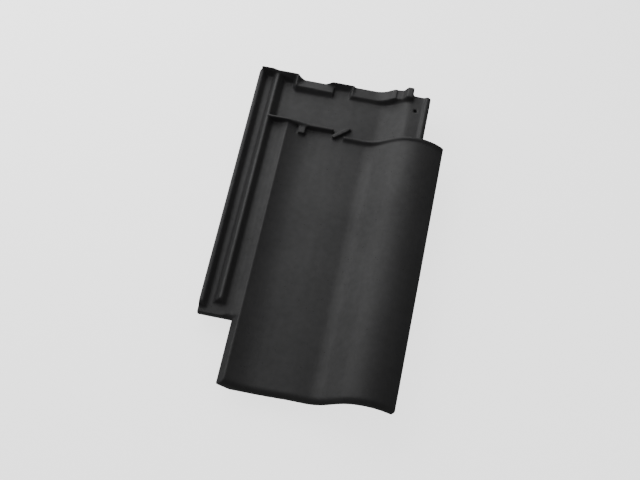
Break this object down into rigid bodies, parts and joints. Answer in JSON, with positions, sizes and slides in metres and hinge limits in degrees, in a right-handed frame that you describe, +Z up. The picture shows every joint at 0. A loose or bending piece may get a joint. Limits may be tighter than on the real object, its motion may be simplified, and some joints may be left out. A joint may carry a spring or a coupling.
{
  "type": "clay roof tile",
  "caption": "Interlocking clay pantile with a flat pan, a side roll, a ribbed side lock, a stepped head lock and a nail hole.",
  "frame": {"origin": "centre of the tile's box, on the plane that the nibs and the foot rib rest on", "axes": "+X across the tile from the side lock to the roll, +Y up the slope from the foot to the head, +Z up off the weathered face"},
  "size_m": [0.26, 0.445, 0.0606],
  "materials": {
    "engobed_clay": "satin-matt black engobe on fired clay, smooth with a fine grain"
  },
  "bodies": {
    "root": {"clay_roof_tile": "engobed_clay"}
  },
  "joints": []
}
